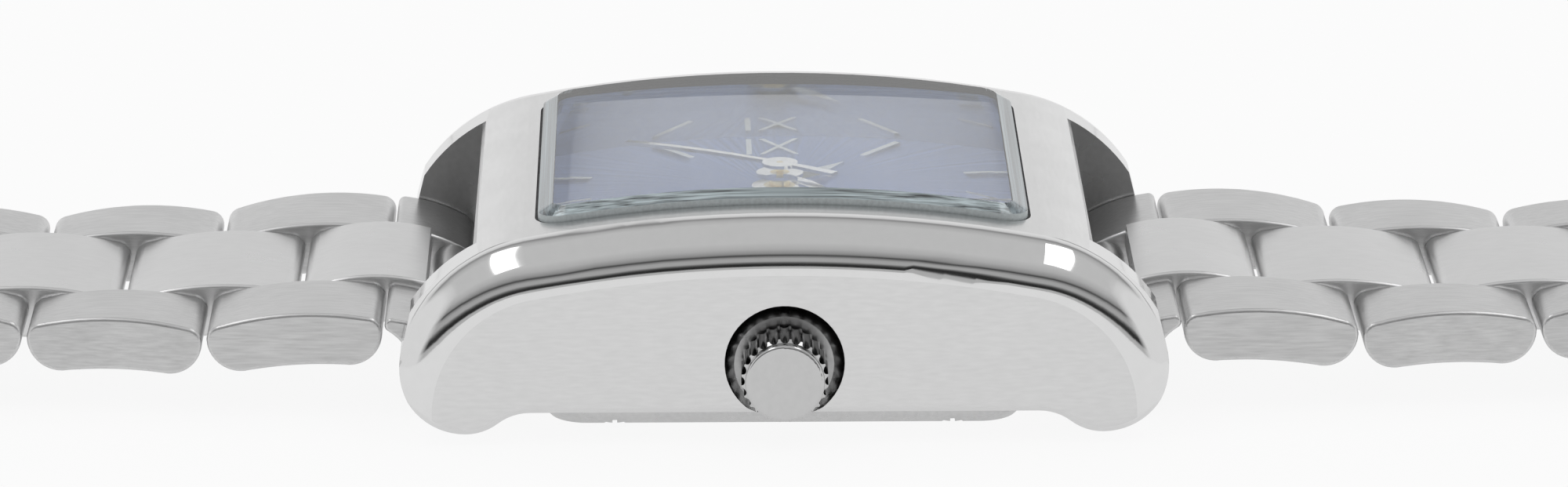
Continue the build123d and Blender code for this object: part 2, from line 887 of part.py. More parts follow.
# Stator: a plate round the rotor whose ends carry the coil's core
with BuildPart() as stator:
    with BuildSketch(Plane.XY.offset(stator_level)):
        with Locations(rotor_place):
            Rectangle(stator_length, stator_width)
        with Locations((rotor_place[0], coil_y)):
            Rectangle(stator_length, core_width)
        with Locations((rotor_place[0], (rotor_place[1] - stator_width / 2 + coil_y) / 2)):
            Rectangle(stator_length, stator_width)
            Rectangle(coil_length, stator_width, mode=Mode.SUBTRACT)
        with Locations((rotor_place[0], coil_y)):
            Rectangle(coil_length, 2 * coil_offset, mode=Mode.SUBTRACT)
        with Locations(rotor_place):
            Rectangle(stator_length, stator_width - 2 * side_play)
            Circle(stator_hole_radius, mode=Mode.SUBTRACT)
        with Locations(intermediate_place):
            Circle(second_module * intermediate_pinion_teeth, mode=Mode.SUBTRACT)
    extrude(amount=stator_thickness)
pieces["stator"] = stator.part

# Coil: the winding with flanged ends, seated between the stator's arms
with BuildPart() as coil:
    with BuildSketch(Plane.YZ.offset(rotor_place[0] - coil_length / 2)):
        with Locations((coil_y, stator_level + stator_thickness / 2)):
            Circle(coil_radius)
    extrude(amount=coil_length)
    flange_edges = coil.edges().filter_by(GeomType.CIRCLE)
    chamfer(flange_edges, length=coil_edge)
pieces["coil"] = coil.part

# Circuit board with the quartz can on it, beside the train
with BuildPart() as circuit_board:
    with BuildSketch(Plane.XY.offset(bridge_bottom - board_thickness)):
        with Locations((0, -movement_length * board_shift_share)):
            RectangleRounded(
                movement_width - 2 * board_margin,
                movement_length * board_length_share,
                movement_corner / 2,
            )
        for place in (*train_pivots, centre_place):
            with Locations(place):
                Circle(pillar_radius, mode=Mode.SUBTRACT)
    extrude(amount=board_thickness)
    with BuildSketch(Plane.XZ.offset(-quartz_y - quartz_length / 2)):
        with Locations((quartz_x, bridge_bottom + quartz_radius - seat_gap)):
            Circle(quartz_radius)
    extrude(amount=quartz_length)
pieces["circuit_board"] = circuit_board.part

# Cell: a button cell with a stepped lid
with BuildPart() as battery:
    add_rod((battery_x, battery_y), battery_level, battery_level + battery_height, battery_radius)
    chamfer(battery.edges().filter_by(GeomType.CIRCLE), length=battery_edge)
pieces["battery"] = battery.part

# Cell clamp: a strap across the cell with two legs up to the main plate
clamp_level = battery_level - clamp_thickness
clamp_half = battery_radius + side_play
with BuildPart() as battery_clamp:
    with BuildSketch(Plane.XZ.offset(-battery_y - clamp_width / 2)):
        with Locations((battery_x, clamp_level)):
            Rectangle(
                2 * (clamp_half + clamp_thickness),
                plate_underside - clamp_level,
                align=(Align.CENTER, Align.MIN),
            )
            with Locations((0, clamp_thickness)):
                Rectangle(
                    2 * clamp_half,
                    plate_underside - clamp_level,
                    align=(Align.CENTER, Align.MIN),
                    mode=Mode.SUBTRACT,
                )
    extrude(amount=clamp_width)
pieces["battery_clamp"] = battery_clamp.part

# Movement holder: a moulded ring between the case wall and the movement
plate_spigot_top = case_bottom + spigot_height
with BuildPart() as movement_holder:
    with BuildSketch(Plane.XY.offset(plate_spigot_top)):
        RectangleRounded(
            back_width - 2 * seat_gap, back_length - 2 * seat_gap, back_corner - seat_gap
        )
        RectangleRounded(
            movement_width + 2 * seat_gap,
            movement_length + 2 * seat_gap,
            movement_corner + seat_gap,
            mode=Mode.SUBTRACT,
        )
    extrude(amount=dial_seat - plate_spigot_top)
    with BuildSketch(Plane.YZ):
        with Locations((0, stem_height)):
            Circle(tube_radius + seat_gap)
    extrude(amount=half_case, mode=Mode.SUBTRACT)
pieces["movement_holder"] = movement_holder.part

# Crown tube, pressed into the case wall and standing in the crown's hollow
crown_face = half_case + crown_proud
hollow_bottom = crown_inner + crown_hollow_depth
tube_outer_end = hollow_bottom - tube_end_gap
with BuildPart() as crown_tube:
    with BuildSketch(Plane.YZ.offset(back_width / 2)):
        with Locations((0, stem_height)):
            Circle(tube_radius)
            Circle(stem_radius + running_fit, mode=Mode.SUBTRACT)
    extrude(amount=tube_outer_end - back_width / 2)
pieces["crown_tube"] = crown_tube.part

# Crown: fluted rim, stepped and bevelled cap, hollow at the back
with BuildPart() as crown:
    with BuildSketch(Plane.YZ.offset(crown_inner)):
        with Locations((0, stem_height)):
            Circle(crown_radius)
    extrude(amount=crown_length - crown_cap)
    chamfer(crown.edges().filter_by(GeomType.CIRCLE), length=crown_edge)
    with BuildSketch(Plane.YZ.offset(crown_inner)):
        with Locations((0, stem_height)):
            with PolarLocations(crown_radius + knurl_radius - knurl_depth, knurl_count):
                Circle(knurl_radius)
    extrude(amount=crown_length - crown_cap, mode=Mode.SUBTRACT)
    with BuildSketch(Plane.YZ.offset(crown_face - crown_cap)):
        with Locations((0, stem_height)):
            Circle(crown_face_radius)
    extrude(amount=crown_cap)
    cap_rim = crown.faces().sort_by(Axis.X)[-1].edges()
    fillet(cap_rim, radius=crown_edge)
    with BuildSketch(Plane.YZ.offset(crown_inner)):
        with Locations((0, stem_height)):
            Circle(crown_hollow_radius)
    extrude(amount=crown_hollow_depth, mode=Mode.SUBTRACT)
pieces["crown"] = crown.part

# Crown gasket: a ring inside the crown that slides on the tube
with BuildPart() as crown_gasket:
    with BuildSketch(Plane.YZ.offset(crown_inner + crown_gasket_thickness / 2)):
        with Locations((0, stem_height)):
            Circle(crown_hollow_radius - running_fit)
            Circle(tube_radius + running_fit, mode=Mode.SUBTRACT)
    extrude(amount=crown_gasket_thickness)
pieces["crown_gasket"] = crown_gasket.part

# Stem: from the crown's hollow through the tube into the main plate, with a grooved end
with BuildPart() as stem:
    with BuildSketch(Plane.YZ.offset(stem_inner_end)):
        with Locations((0, stem_height)):
            Circle(stem_radius)
    extrude(amount=hollow_bottom - stem_inner_end)
    with BuildSketch(Plane.YZ.offset(stem_inner_end + stem_radius)):
        with Locations((0, stem_height)):
            Circle(stem_radius + overrun)
            Circle(stem_radius * stem_groove_share, mode=Mode.SUBTRACT)
    extrude(amount=stem_radius, mode=Mode.SUBTRACT)
pieces["stem"] = stem.part

# Case back: a slab with a shallow hollow and a spigot, screwed on at four places
spigot_width = back_width - 2 * seat_gap
spigot_length = back_length - 2 * seat_gap
with BuildPart() as caseback:
    with BuildSketch(Plane.XY):
        RectangleRounded(plate_width, plate_length, plate_corner)
    extrude(amount=case_bottom)
    chamfer(caseback.faces().sort_by(Axis.Z)[0].edges(), length=plate_edge)
    with BuildSketch(Plane.XY.offset(case_bottom)):
        RectangleRounded(spigot_width, spigot_length, back_corner - seat_gap)
    extrude(amount=spigot_height)
    with BuildSketch(Plane.XY.offset(plate_floor)):
        RectangleRounded(
            spigot_width - 2 * spigot_wall,
            spigot_length - 2 * spigot_wall,
            back_corner - seat_gap - spigot_wall,
        )
    extrude(amount=case_top, mode=Mode.SUBTRACT)
    with Locations(Plane.XY):
        with GridLocations(plate_width - 2 * screw_inset, screw_spread, 2, 2):
            Cylinder(
                screw_radius + seat_gap,
                case_bottom,
                align=(Align.CENTER, Align.CENTER, Align.MIN),
                mode=Mode.SUBTRACT,
            )
            Cylinder(
                screw_head_radius + seat_gap,
                screw_head_height + seat_gap,
                align=(Align.CENTER, Align.CENTER, Align.MIN),
                mode=Mode.SUBTRACT,
            )
pieces["caseback"] = caseback.part

# Case back gasket in the step round the spigot
with BuildPart() as caseback_gasket:
    with BuildSketch(Plane.XY.offset(case_bottom)):
        RectangleRounded(
            back_width + 2 * (back_gasket_wall - seat_gap),
            back_length + 2 * (back_gasket_wall - seat_gap),
            back_corner + back_gasket_wall - seat_gap,
        )
        RectangleRounded(back_width, back_length, back_corner, mode=Mode.SUBTRACT)
    extrude(amount=back_gasket_height - seat_gap)
pieces["caseback_gasket"] = caseback_gasket.part

# Four case back screws with slotted heads
with BuildPart() as caseback_screws:
    with Locations(Plane.XY.offset(seat_gap)):
        with GridLocations(plate_width - 2 * screw_inset, screw_spread, 2, 2):
            Cylinder(
                screw_head_radius,
                screw_head_height,
                align=(Align.CENTER, Align.CENTER, Align.MIN),
            )
            Cylinder(
                screw_radius,
                case_bottom + screw_length - 2 * seat_gap,
                align=(Align.CENTER, Align.CENTER, Align.MIN),
            )
            Box(
                2 * screw_head_radius,
                screw_slot_width,
                2 * screw_slot_depth,
                mode=Mode.SUBTRACT,
            )
pieces["caseback_screws"] = caseback_screws.part

# Spring bars across both lug gaps, with thinner tips in the lugs
with BuildPart() as spring_bars:
    for end in (1, -1):
        with BuildSketch(Plane.YZ.offset(-lug_gap / 2 + seat_gap)):
            with Locations((end * spring_bar_y, spring_bar_z)):
                Circle(spring_bar_radius)
        extrude(amount=lug_gap - 2 * seat_gap)
        with BuildSketch(Plane.YZ.offset(-lug_gap / 2 - spring_tip_length)):
            with Locations((end * spring_bar_y, spring_bar_z)):
                Circle(spring_tip_radius)
        extrude(amount=lug_gap + 2 * spring_tip_length)
pieces["spring_bars"] = spring_bars.part

# The bracelet's pivots, from the end link outwards, as distance from the centre and height.
# After the tilts set above, the row comes down to the resting level and stays there.
step_lengths = [first_step] + [pin_spacing] * (link_row_count - 1)
pivots = [(end_pin_y, end_pin_z)]
tilts = []
landing_tilt = 0
for index, step in enumerate(step_lengths):
    past = index - len(row_tilts)
    if past == 0:
        drop = pivots[-1][1] - half_link - landing_rise
        landing_tilt = degrees(asin(drop / (sum(landing_shares) * step)))
    if past < 0:
        tilt = row_tilts[index]
    elif past < len(landing_shares):
        tilt = landing_tilt * landing_shares[past]
    else:
        tilt = 0
    y, z = pivots[-1]
    pivots.append((y + step * cos_d(tilt), z - step * sin_d(tilt)))
    tilts.append(tilt)


def half_width(y):
    """Half the bracelet's width at a distance from the centre."""
    first = pivots[1][0] - pin_spacing / 2
    share = (y - first) / link_pitch
    if share <= 0:
        return taper_widths[0] / 2
    index = int(share)
    if index >= len(taper_widths) - 1:
        return taper_widths[-1] / 2
    part = share - index
    return (taper_widths[index] * (1 - part) + taper_widths[index + 1] * part) / 2


def link_plane(index, side):
    """Plane with its origin on a link's inner pivot, X along the link outwards and Y upwards."""
    y, z = pivots[index]
    tilt = tilts[index]
    return Plane(
        origin=(0, side * y, z),
        x_dir=(0, side * cos_d(tilt), -sin_d(tilt)),
        z_dir=(side, 0, 0),
    )


def link_outline(plane, spacing):
    """A link's side outline: convex top, blunt ends, round toes and a hollow underside."""
    middle = spacing / 2
    reach = middle + pin_spacing / 2 - link_gap / 2
    with BuildSketch(plane) as outline:
        with BuildLine():
            over = ThreePointArc(
                (middle - reach + link_shoulder, half_link - link_crest),
                (middle, half_link),
                (middle + reach - link_shoulder, half_link - link_crest),
            )
            nose = TangentArc(over @ 1, (middle + reach, link_waist), tangent=over % 1)
            toe = TangentArc(nose @ 1, (middle + reach - link_toe, -half_link), tangent=nose % 1)
            back_nose = TangentArc(over @ 0, (middle - reach, link_waist), tangent=-(over % 0))
            back_toe = TangentArc(
                back_nose @ 1, (middle - reach + link_toe, -half_link), tangent=back_nose % 1
            )
            ThreePointArc(toe @ 1, (middle, link_hollow - half_link), back_toe @ 1)
        make_face()
    return outline.sketch


def first_link_outline(plane, spacing):
    """The first centre link, cut short and rounded round its pivot beside the end link's tube."""
    reach = spacing + pin_spacing / 2 - link_gap / 2
    with BuildSketch(plane) as outline:
        with BuildLine():
            over = ThreePointArc(
                (-first_link_back, half_link - link_crest),
                (spacing / 2, half_link),
                (reach - link_shoulder, half_link - link_crest),
            )
            nose = TangentArc(over @ 1, (reach, link_waist), tangent=over % 1)
            toe = TangentArc(nose @ 1, (reach - link_toe, -half_link), tangent=nose % 1)
            heel = Line(toe @ 1, (0, -first_link_back))
            CenterArc((0, 0), first_link_back, 180, 90)
            Line((-first_link_back, 0), over @ 0)
        make_face()
    return outline.sketch


def side_rims(part):
    """Edges of the two outermost side faces of each solid."""
    rims = ShapeList()
    for solid in part.solids():
        faces = solid.faces().sort_by(Axis.X)
        rims += faces[0].edges()
        rims += faces[-1].edges()
    return rims


def centre_link(index, side):
    plane = link_plane(index, side)
    spacing = step_lengths[index]
    with BuildPart() as link:
        if index == 0:
            outline = first_link_outline(plane.offset(-centre_half), spacing)
        else:
            outline = link_outline(plane.offset(-centre_half), spacing)
        extrude(outline, amount=centre_link_width)
        fillet(side_rims(link), radius=link_edge)
        with BuildSketch(plane.offset(-centre_half)):
            with Locations((0, 0), (spacing, 0)):
                Circle(pin_radius + running_fit)
        extrude(amount=centre_link_width, mode=Mode.SUBTRACT)
    return link.part


def outer_links(index, side):
    """The two outer links of a row with the two pins that tie them together."""
    plane = link_plane(index, side)
    across = Plane(origin=plane.origin, x_dir=plane.x_dir, z_dir=plane.y_dir)
    spacing = step_lengths[index]
    near = half_width(pivots[index][0] - pin_spacing / 2)
    far = half_width(pivots[index][0] + spacing + pin_spacing / 2)
    reach = outer_inside + pin_reach
    with BuildPart() as links:
        extrude(link_outline(plane.offset(outer_inside), spacing), amount=near - outer_inside)
        extrude(link_outline(plane.offset(-near), spacing), amount=near - outer_inside)
        for flank in (1, -1):
            with BuildSketch(across.offset(-link_thickness)):
                with BuildLine():
                    Polyline(
                        (-pin_spacing / 2, flank * near),
                        (spacing + pin_spacing / 2, flank * far),
                        (spacing + pin_spacing / 2, flank * (near + overrun)),
                        (-pin_spacing / 2, flank * (near + overrun)),
                        close=True,
                    )
                make_face()
            extrude(amount=2 * link_thickness, mode=Mode.SUBTRACT)
        fillet(side_rims(links), radius=link_edge)
        with BuildSketch(plane.offset(-reach)):
            with Locations((0, 0), (spacing, 0)):
                Circle(pin_radius)
        extrude(amount=2 * reach, mode=Mode.SUBTRACT)
    with BuildPart() as pins:
        with BuildSketch(plane.offset(-reach)):
            with Locations((0, 0), (spacing, 0)):
                Circle(pin_radius)
        extrude(amount=2 * reach)
    return Compound(children=[*links.part.solids(), *pins.part.solids()])


def lobe_outline(plane):
    """An end link lobe: round the spring bar, sloping top, blunt outer end."""
    lobe_end = end_pin_y + end_link_reach
    start = polar((spring_bar_y, spring_bar_z), end_tube_radius, lobe_start_angle)
    with BuildSketch(plane) as outline:
        with BuildLine():
            over = ThreePointArc(
                start, (end_pin_y - lobe_crest_inset, lobe_crest), (lobe_end - lobe_edge, lobe_top)
            )
            nose = TangentArc(over @ 1, (lobe_end, end_pin_z + link_waist), tangent=over % 1)
            toe = TangentArc(nose @ 1, (lobe_end - lobe_toe, lobe_floor), tangent=nose % 1)
            Line(toe @ 1, (spring_bar_y, spring_bar_z - end_tube_radius))
            CenterArc(
                (spring_bar_y, spring_bar_z),
                end_tube_radius,
                lobe_start_angle,
                270 - lobe_start_angle,
            )
        make_face()
    return outline.sketch


def end_link(side):
    plane = Plane(origin=(0, 0, 0), x_dir=(0, side, 0), z_dir=(side, 0, 0))
    edge = lug_gap / 2 - lug_clearance
    reach = outer_inside + pin_reach
    with BuildPart() as link:
        extrude(lobe_outline(plane.offset(outer_inside)), amount=edge - outer_inside)
        extrude(lobe_outline(plane.offset(-edge)), amount=edge - outer_inside)
        fillet(side_rims(link), radius=link_edge)
        with BuildSketch(plane.offset(-outer_inside)):
            with Locations((spring_bar_y, spring_bar_z)):
                Circle(end_tube_radius)
        extrude(amount=2 * outer_inside)
        with BuildSketch(plane.offset(-edge)):
            with Locations((spring_bar_y, spring_bar_z)):
                Circle(spring_bar_radius + running_fit)
        extrude(amount=2 * edge, mode=Mode.SUBTRACT)
        with BuildSketch(plane.offset(-reach)):
            with Locations((end_pin_y, end_pin_z)):
                Circle(pin_radius)
        extrude(amount=2 * reach, mode=Mode.SUBTRACT)
    with BuildPart() as pin:
        with BuildSketch(plane.offset(-reach)):
            with Locations((end_pin_y, end_pin_z)):
                Circle(pin_radius)
        extrude(amount=2 * reach)
    return Compound(children=[*link.part.solids(), *pin.part.solids()])


for side, position in ((1, "12"), (-1, "6")):
    pieces[f"end_link_{position}"] = end_link(side)
    for index in range(link_row_count):
        row = index // 2 + 1
        if index % 2 == 0:
            pieces[f"center_link_{position}_{row}"] = centre_link(index, side)
        else:
            pieces[f"outer_links_{position}_{row}"] = outer_links(index, side)

# Folding clasp on the 6 o'clock side, drawn closed. Offsets run along its curve from the
# middle of the cover, positive towards the case. The cover is notched at its far end, where
# the end blade swings through.
clasp_plane = Plane(origin=(0, 0, 0), x_dir=(0, -1, 0), z_dir=(-1, 0, 0))
hinge_radius = clasp_radius - blade_depth
blade_inner = hinge_radius - blade_thickness / 2
blade_outer = hinge_radius + blade_thickness / 2
clasp_turn = degrees(cover_pivot_offset / clasp_radius)
clasp_middle = (
    pivots[-1][0] + hinge_radius * sin_d(clasp_turn),
    pivots[-1][1] - hinge_radius * cos_d(clasp_turn),
)


def clasp_point(offset, radius):
    return polar(clasp_middle, radius, 90 + degrees(offset / clasp_radius))


def add_band(inner, outer, start, end, left, right, mode=Mode.ADD):
    """A curved strip between two radii, two offsets and two distances across."""
    half_way = (start + end) / 2
    with BuildSketch(clasp_plane.offset(left)) as strip:
        with BuildLine():
            over = ThreePointArc(
                clasp_point(start, outer), clasp_point(half_way, outer), clasp_point(end, outer)
            )
            under = ThreePointArc(
                clasp_point(start, inner), clasp_point(half_way, inner), clasp_point(end, inner)
            )
            Line(over @ 0, under @ 0)
            Line(over @ 1, under @ 1)
        make_face()
    extrude(strip.sketch, amount=right - left, mode=mode)


def add_barrel(offset, radius, left, right, mode=Mode.ADD):
    """A cylinder across the clasp at the hinge radius."""
    with BuildSketch(clasp_plane.offset(left)) as outline:
        with Locations(clasp_point(offset, hinge_radius)):
            Circle(radius)
    extrude(outline.sketch, amount=right - left, mode=mode)


cover_half = cover_width / 2
wall_inside = cover_half - cover_wall
cover_inner = clasp_radius - cover_wall
wall_inner = clasp_radius - cover_side_depth
rail_outside = wall_inside - blade_gap
rail_inside = rail_outside - rail_width
blade_half = end_blade_width / 2
notch_end = eye_offset - 2 * far_hinge_offset + knuckle_radius + blade_gap
with BuildPart() as clasp_cover:
    add_band(
        cover_inner,
        clasp_radius,
        -cover_end_offset,
        cover_start_offset,
        -cover_half,
        cover_half,
    )
    for flank in (1, -1):
        start = wall_inside if flank > 0 else -cover_half
        knuckle_start = outer_inside if flank > 0 else -cover_half
        knuckle_end = cover_half if flank > 0 else -outer_inside
        add_band(
            wall_inner,
            clasp_radius,
            -cover_end_offset,
            cover_pivot_offset,
            start,
            start + cover_wall,
        )
        add_band(
            hinge_radius,
            clasp_radius - link_gap,
            cover_start_offset - cover_wall,
            cover_pivot_offset,
            knuckle_start,
            knuckle_end,
        )
        add_barrel(cover_pivot_offset, cover_knuckle_radius, knuckle_start, knuckle_end)
    add_barrel(
        cover_pivot_offset,
        pin_radius,
        -outer_inside - pin_reach,
        outer_inside + pin_reach,
        mode=Mode.SUBTRACT,
    )
    add_barrel(
        -far_hinge_offset,
        pin_radius,
        -wall_inside - cover_wall / 2,
        wall_inside + cover_wall / 2,
        mode=Mode.SUBTRACT,
    )
    add_band(
        wall_inner,
        clasp_radius + overrun,
        -cover_end_offset - overrun,
        notch_end,
        -blade_half - blade_gap,
        blade_half + blade_gap,
        mode=Mode.SUBTRACT,
    )
pieces["clasp_cover"] = clasp_cover.part

# The cover's pins: one through the last centre link, two short ones for the middle blade
with BuildPart() as clasp_pins:
    add_barrel(
        cover_pivot_offset, pin_radius, -outer_inside - pin_reach, outer_inside + pin_reach
    )
    add_barrel(-far_hinge_offset, pin_radius, rail_inside, wall_inside + cover_wall / 2)
    add_barrel(-far_hinge_offset, pin_radius, -wall_inside - cover_wall / 2, -rail_inside)
pieces["clasp_pins"] = clasp_pins.part

# Middle blade: two rails with eyes, joined by a bar beyond the pin that it holds
with BuildPart() as middle_blade:
    for flank in (1, -1):
        start = rail_inside if flank > 0 else -rail_outside
        add_band(
            blade_inner,
            blade_outer,
            -far_hinge_offset,
            bar_offset + bar_width / 2,
            start,
            start + rail_width,
        )
        add_barrel(-far_hinge_offset, knuckle_radius, start, start + rail_width)
    add_band(
        blade_inner,
        blade_outer,
        bar_offset - bar_width / 2,
        bar_offset + bar_width / 2,
        -rail_outside,
        rail_outside,
    )
    add_barrel(
        -far_hinge_offset,
        pin_radius + running_fit,
        -rail_outside,
        rail_outside,
        mode=Mode.SUBTRACT,
    )
    for flank in (1, -1):
        start = rail_inside if flank > 0 else -rail_outside
        add_barrel(near_hinge_offset, knuckle_radius, start, start + rail_width)
    add_barrel(
        near_hinge_offset, pin_radius, -rail_outside, rail_outside, mode=Mode.SUBTRACT
    )
with BuildPart() as blade_pin:
    add_barrel(near_hinge_offset, pin_radius, -rail_outside, rail_outside)
pieces["middle_blade"] = Compound(
    children=[*middle_blade.part.solids(), *blade_pin.part.solids()]
)

# End blade: a strip between the rails, with an open eye for the other half of the bracelet
with BuildPart() as end_blade:
    add_band(
        blade_inner, blade_outer, -eye_offset, near_hinge_offset, -blade_half, blade_half
    )
    for offset in (-eye_offset, near_hinge_offset):
        add_barrel(offset, knuckle_radius, -blade_half, blade_half)
    for offset in (-eye_offset, near_hinge_offset):
        add_barrel(
            offset, pin_radius + running_fit, -blade_half, blade_half, mode=Mode.SUBTRACT
        )
pieces["end_blade"] = end_blade.part

for name, piece in pieces.items():
    piece.label = name
    export_step(piece, f"parts/{name}.step")
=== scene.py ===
import math

import bpy
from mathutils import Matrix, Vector

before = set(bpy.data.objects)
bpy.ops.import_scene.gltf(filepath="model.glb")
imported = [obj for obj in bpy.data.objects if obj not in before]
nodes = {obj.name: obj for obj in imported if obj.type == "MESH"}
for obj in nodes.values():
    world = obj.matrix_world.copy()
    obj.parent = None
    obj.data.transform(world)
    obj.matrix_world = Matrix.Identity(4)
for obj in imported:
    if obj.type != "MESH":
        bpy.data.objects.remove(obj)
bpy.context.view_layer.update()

scene = bpy.context.scene
MM = 0.001

# The part of a noise's output in which nearly all its values lie
NOISE_LOW, NOISE_HIGH = 0.3, 0.7
# Rays that meet a surface straight from the camera or through glass
DIRECT_RAYS = ("Is Camera Ray", "Is Transmission Ray")


def new_material(name):
    """A material with an empty tree, that tree and its output node."""
    mat = bpy.data.materials.new(name)
    mat.use_nodes = True
    tree = mat.node_tree
    tree.nodes.clear()
    out = tree.nodes.new("ShaderNodeOutputMaterial")
    return mat, tree, out


def new_surface(name):
    """A material with one Principled shader, its tree and that shader."""
    mat, tree, out = new_material(name)
    shader = tree.nodes.new("ShaderNodeBsdfPrincipled")
    tree.links.new(shader.outputs["BSDF"], out.inputs["Surface"])
    return mat, tree, shader


def split_coordinate(tree, kind):
    """X, Y and Z of one kind of texture coordinate."""
    coord = tree.nodes.new("ShaderNodeTexCoord")
    split = tree.nodes.new("ShaderNodeSeparateXYZ")
    tree.links.new(coord.outputs[kind], split.inputs["Vector"])
    return split.outputs


def place_noise(tree, stretch, detail):
    """Noise over the object, with stretch periods per millimetre along X, Y and Z."""
    coord = tree.nodes.new("ShaderNodeTexCoord")
    mapping = tree.nodes.new("ShaderNodeMapping")
    mapping.inputs["Scale"].default_value = [1000 * s for s in stretch]
    noise = tree.nodes.new("ShaderNodeTexNoise")
    noise.inputs["Scale"].default_value = 1.0
    noise.inputs["Detail"].default_value = detail
    tree.links.new(coord.outputs["Object"], mapping.inputs["Vector"])
    tree.links.new(mapping.outputs["Vector"], noise.inputs["Vector"])
    return noise.outputs["Fac"]


def combine(tree, operation, first, second=None):
    """One math operation on one or two outputs."""
    node = tree.nodes.new("ShaderNodeMath")
    node.operation = operation
    tree.links.new(first, node.inputs[0])
    if second is not None:
        tree.links.new(second, node.inputs[1])
    return node.outputs["Value"]


def spread(tree, source, start, end, low_value, high_value):
    """Maps start to end onto low_value to high_value, and holds the ends."""
    node = tree.nodes.new("ShaderNodeMapRange")
    node.inputs["From Min"].default_value = start
    node.inputs["From Max"].default_value = end
    node.inputs["To Min"].default_value = low_value
    node.inputs["To Max"].default_value = high_value
    tree.links.new(source, node.inputs["Value"])
    return node.outputs["Result"]


def set_colour(tree, shader, noise, dark, light):
    """Base colour between dark and light, by the noise."""
    mix = tree.nodes.new("ShaderNodeMix")
    mix.data_type = "RGBA"
    mix.inputs["A"].default_value = (*dark, 1.0)
    mix.inputs["B"].default_value = (*light, 1.0)
    factor = spread(tree, noise, NOISE_LOW, NOISE_HIGH, 0.0, 1.0)
    tree.links.new(factor, mix.inputs["Factor"])
    tree.links.new(mix.outputs["Result"], shader.inputs["Base Color"])


def set_roughness(tree, shader, noise, least, most):
    """Roughness between least and most, by the noise."""
    value = spread(tree, noise, NOISE_LOW, NOISE_HIGH, least, most)
    tree.links.new(value, shader.inputs["Roughness"])


def set_relief(tree, shader, noise, depth):
    """Relief by the noise, depth in millimetres."""
    relief = tree.nodes.new("ShaderNodeBump")
    relief.inputs["Strength"].default_value = 1.0
    relief.inputs["Distance"].default_value = depth * MM
    tree.links.new(noise, relief.inputs["Height"])
    tree.links.new(relief.outputs["Normal"], shader.inputs["Normal"])


def steel(name, tone, rough, rough_swing, stretch, depth, shade, tint=(1.0, 1.0, 1.0)):
    """Metal with fine lines along the direction in which stretch is smallest."""
    mat, tree, shader = new_surface(name)
    shader.inputs["Metallic"].default_value = 1.0
    fine = place_noise(tree, stretch, detail=6.0)
    cloud = place_noise(tree, (0.35, 0.35, 0.35), detail=3.0)
    dark = [tone * (1 - shade) * t for t in tint]
    light = [tone * (1 + shade) * t for t in tint]
    set_colour(tree, shader, fine, dark, light)
    set_roughness(tree, shader, cloud, rough - rough_swing, rough + rough_swing)
    set_relief(tree, shader, fine, depth)
    return mat


def plain(name, colour, rough, metallic=0.0, grain=0.06, stretch=(3.0, 3.0, 3.0), coat=0.0):
    """A plain surface with a little grain in its colour, roughness and relief."""
    mat, tree, shader = new_surface(name)
    shader.inputs["Metallic"].default_value = metallic
    shader.inputs["Coat Weight"].default_value = coat
    noise = place_noise(tree, stretch, detail=5.0)
    dark = [c * (1 - grain) for c in colour]
    light = [min(1.0, c * (1 + grain)) for c in colour]
    set_colour(tree, shader, noise, dark, light)
    set_roughness(tree, shader, noise, rough * 0.85, min(1.0, rough * 1.15))
    set_relief(tree, shader, noise, depth=0.002)
    return mat


def sunray_dial():
    """Blue lacquer over metal with fine rays from the middle."""
    mat, tree, shader = new_surface("dial_blue")
    shader.inputs["Metallic"].default_value = 0.75
    shader.inputs["Roughness"].default_value = 0.3
    shader.inputs["Coat Weight"].default_value = 0.25
    shader.inputs["Coat Roughness"].default_value = 0.08
    place = split_coordinate(tree, "Object")
    rays = tree.nodes.new("ShaderNodeTexNoise")
    rays.noise_dimensions = "1D"
    rays.inputs["Scale"].default_value = 40.0
    rays.inputs["Detail"].default_value = 4.0
    tree.links.new(combine(tree, "ARCTAN2", place["Y"], place["X"]), rays.inputs["W"])
    set_colour(tree, shader, rays.outputs["Fac"], (0.06, 0.15, 0.44), (0.12, 0.25, 0.64))
    set_relief(tree, shader, rays.outputs["Fac"], depth=0.003)
    return mat


def mineral_glass():
    """Clear glass with faint smudges in its roughness."""
    mat, tree, shader = new_surface("mineral_glass")
    shader.inputs["Base Color"].default_value = (0.97, 0.985, 0.99, 1.0)
    shader.inputs["Transmission Weight"].default_value = 1.0
    shader.inputs["IOR"].default_value = 1.5
    smudge = place_noise(tree, (0.4, 0.4, 0.4), detail=4.0)
    roughness = spread(tree, smudge, 0.35, 0.75, 0.0, 0.012)
    tree.links.new(roughness, shader.inputs["Roughness"])
    return mat


# Metals: name, tone, roughness and its swing, stretch, relief in millimetres, shade.
# The lines run along Y on the links and the case sides, and along X on the case top.
polished = steel("polished_steel", 0.78, 0.07, 0.02, (2.0, 2.0, 2.0), 0.0002, 0.01)
case_side = steel("satin_side", 0.73, 0.16, 0.03, (6.0, 1.2, 6.0), 0.0012, 0.03)
case_top = steel("satin_top", 0.78, 0.22, 0.03, (1.2, 6.0, 6.0), 0.0010, 0.02)
link_brushed = steel("brushed_link", 0.68, 0.33, 0.04, (9.0, 0.5, 9.0), 0.0030, 0.07)
centre_satin = steel("satin_centre_link", 0.76, 0.30, 0.03, (3.0, 1.0, 3.0), 0.0008, 0.02)
# Darker steel for the lug gaps and the crown pocket: painted shade where the parts hide these
# faces from the light
shaded_recess_steel = steel("shaded_recess_steel", 0.48, 0.28, 0.04, (3.0, 3.0, 3.0), 0.0008, 0.05)
link_side = steel("brushed_side", 0.62, 0.36, 0.05, (9.0, 0.6, 9.0), 0.0040, 0.10)
pin_steel = steel("turned_steel", 0.60, 0.25, 0.05, (0.6, 8.0, 8.0), 0.0015, 0.05)
